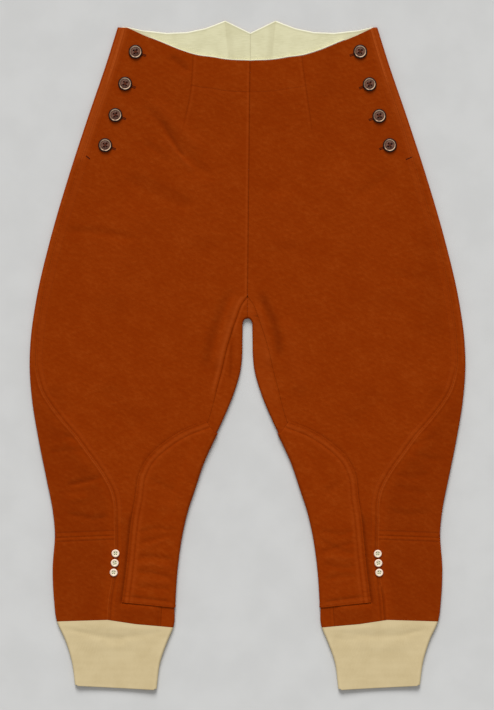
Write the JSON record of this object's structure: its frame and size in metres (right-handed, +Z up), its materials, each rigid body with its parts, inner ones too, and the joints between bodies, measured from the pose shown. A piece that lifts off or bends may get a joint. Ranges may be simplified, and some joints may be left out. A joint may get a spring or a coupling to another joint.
{
  "type": "riding breeches",
  "caption": "Brushed-cotton riding breeches laid flat: wide thighs, side-button fall front, knee patches, curved side seams and knitted cuffs.",
  "frame": {"origin": "on the surface the garment lies on, under the middle of its box", "axes": "+X towards the right edge as seen from above, +Y from the cuffs towards the waist, +Z up out of the front"},
  "size_m": [0.6242, 0.957, 0.0097],
  "materials": {
    "brushed_cotton": "brushed napped cotton, rust brown",
    "cotton_lining": "plain woven cotton, cream",
    "knit": "fine rib knit, beige",
    "horn": "polished dark horn",
    "shell_button": "polished cream shell"
  },
  "bodies": {
    "root": {"back_left": "brushed_cotton", "back_right": "brushed_cotton", "front_left": "brushed_cotton", "front_right": "brushed_cotton", "calf_left": "brushed_cotton", "calf_right": "brushed_cotton", "knee_patch_left": "brushed_cotton", "knee_patch_right": "brushed_cotton", "button_stand_left": "brushed_cotton", "button_stand_right": "brushed_cotton", "lining_left": "cotton_lining", "lining_right": "cotton_lining", "facing_left": "cotton_lining", "facing_right": "cotton_lining", "cuff_left": "knit", "cuff_right": "knit", "horn_button_left_1": "horn", "horn_button_left_2": "horn", "horn_button_left_3": "horn", "horn_button_left_4": "horn", "horn_button_right_1": "horn", "horn_button_right_2": "horn", "horn_button_right_3": "horn", "horn_button_right_4": "horn", "cuff_button_left_1": "shell_button", "cuff_button_left_2": "shell_button", "cuff_button_left_3": "shell_button", "cuff_button_right_1": "shell_button", "cuff_button_right_2": "shell_button", "cuff_button_right_3": "shell_button"}
  },
  "joints": []
}
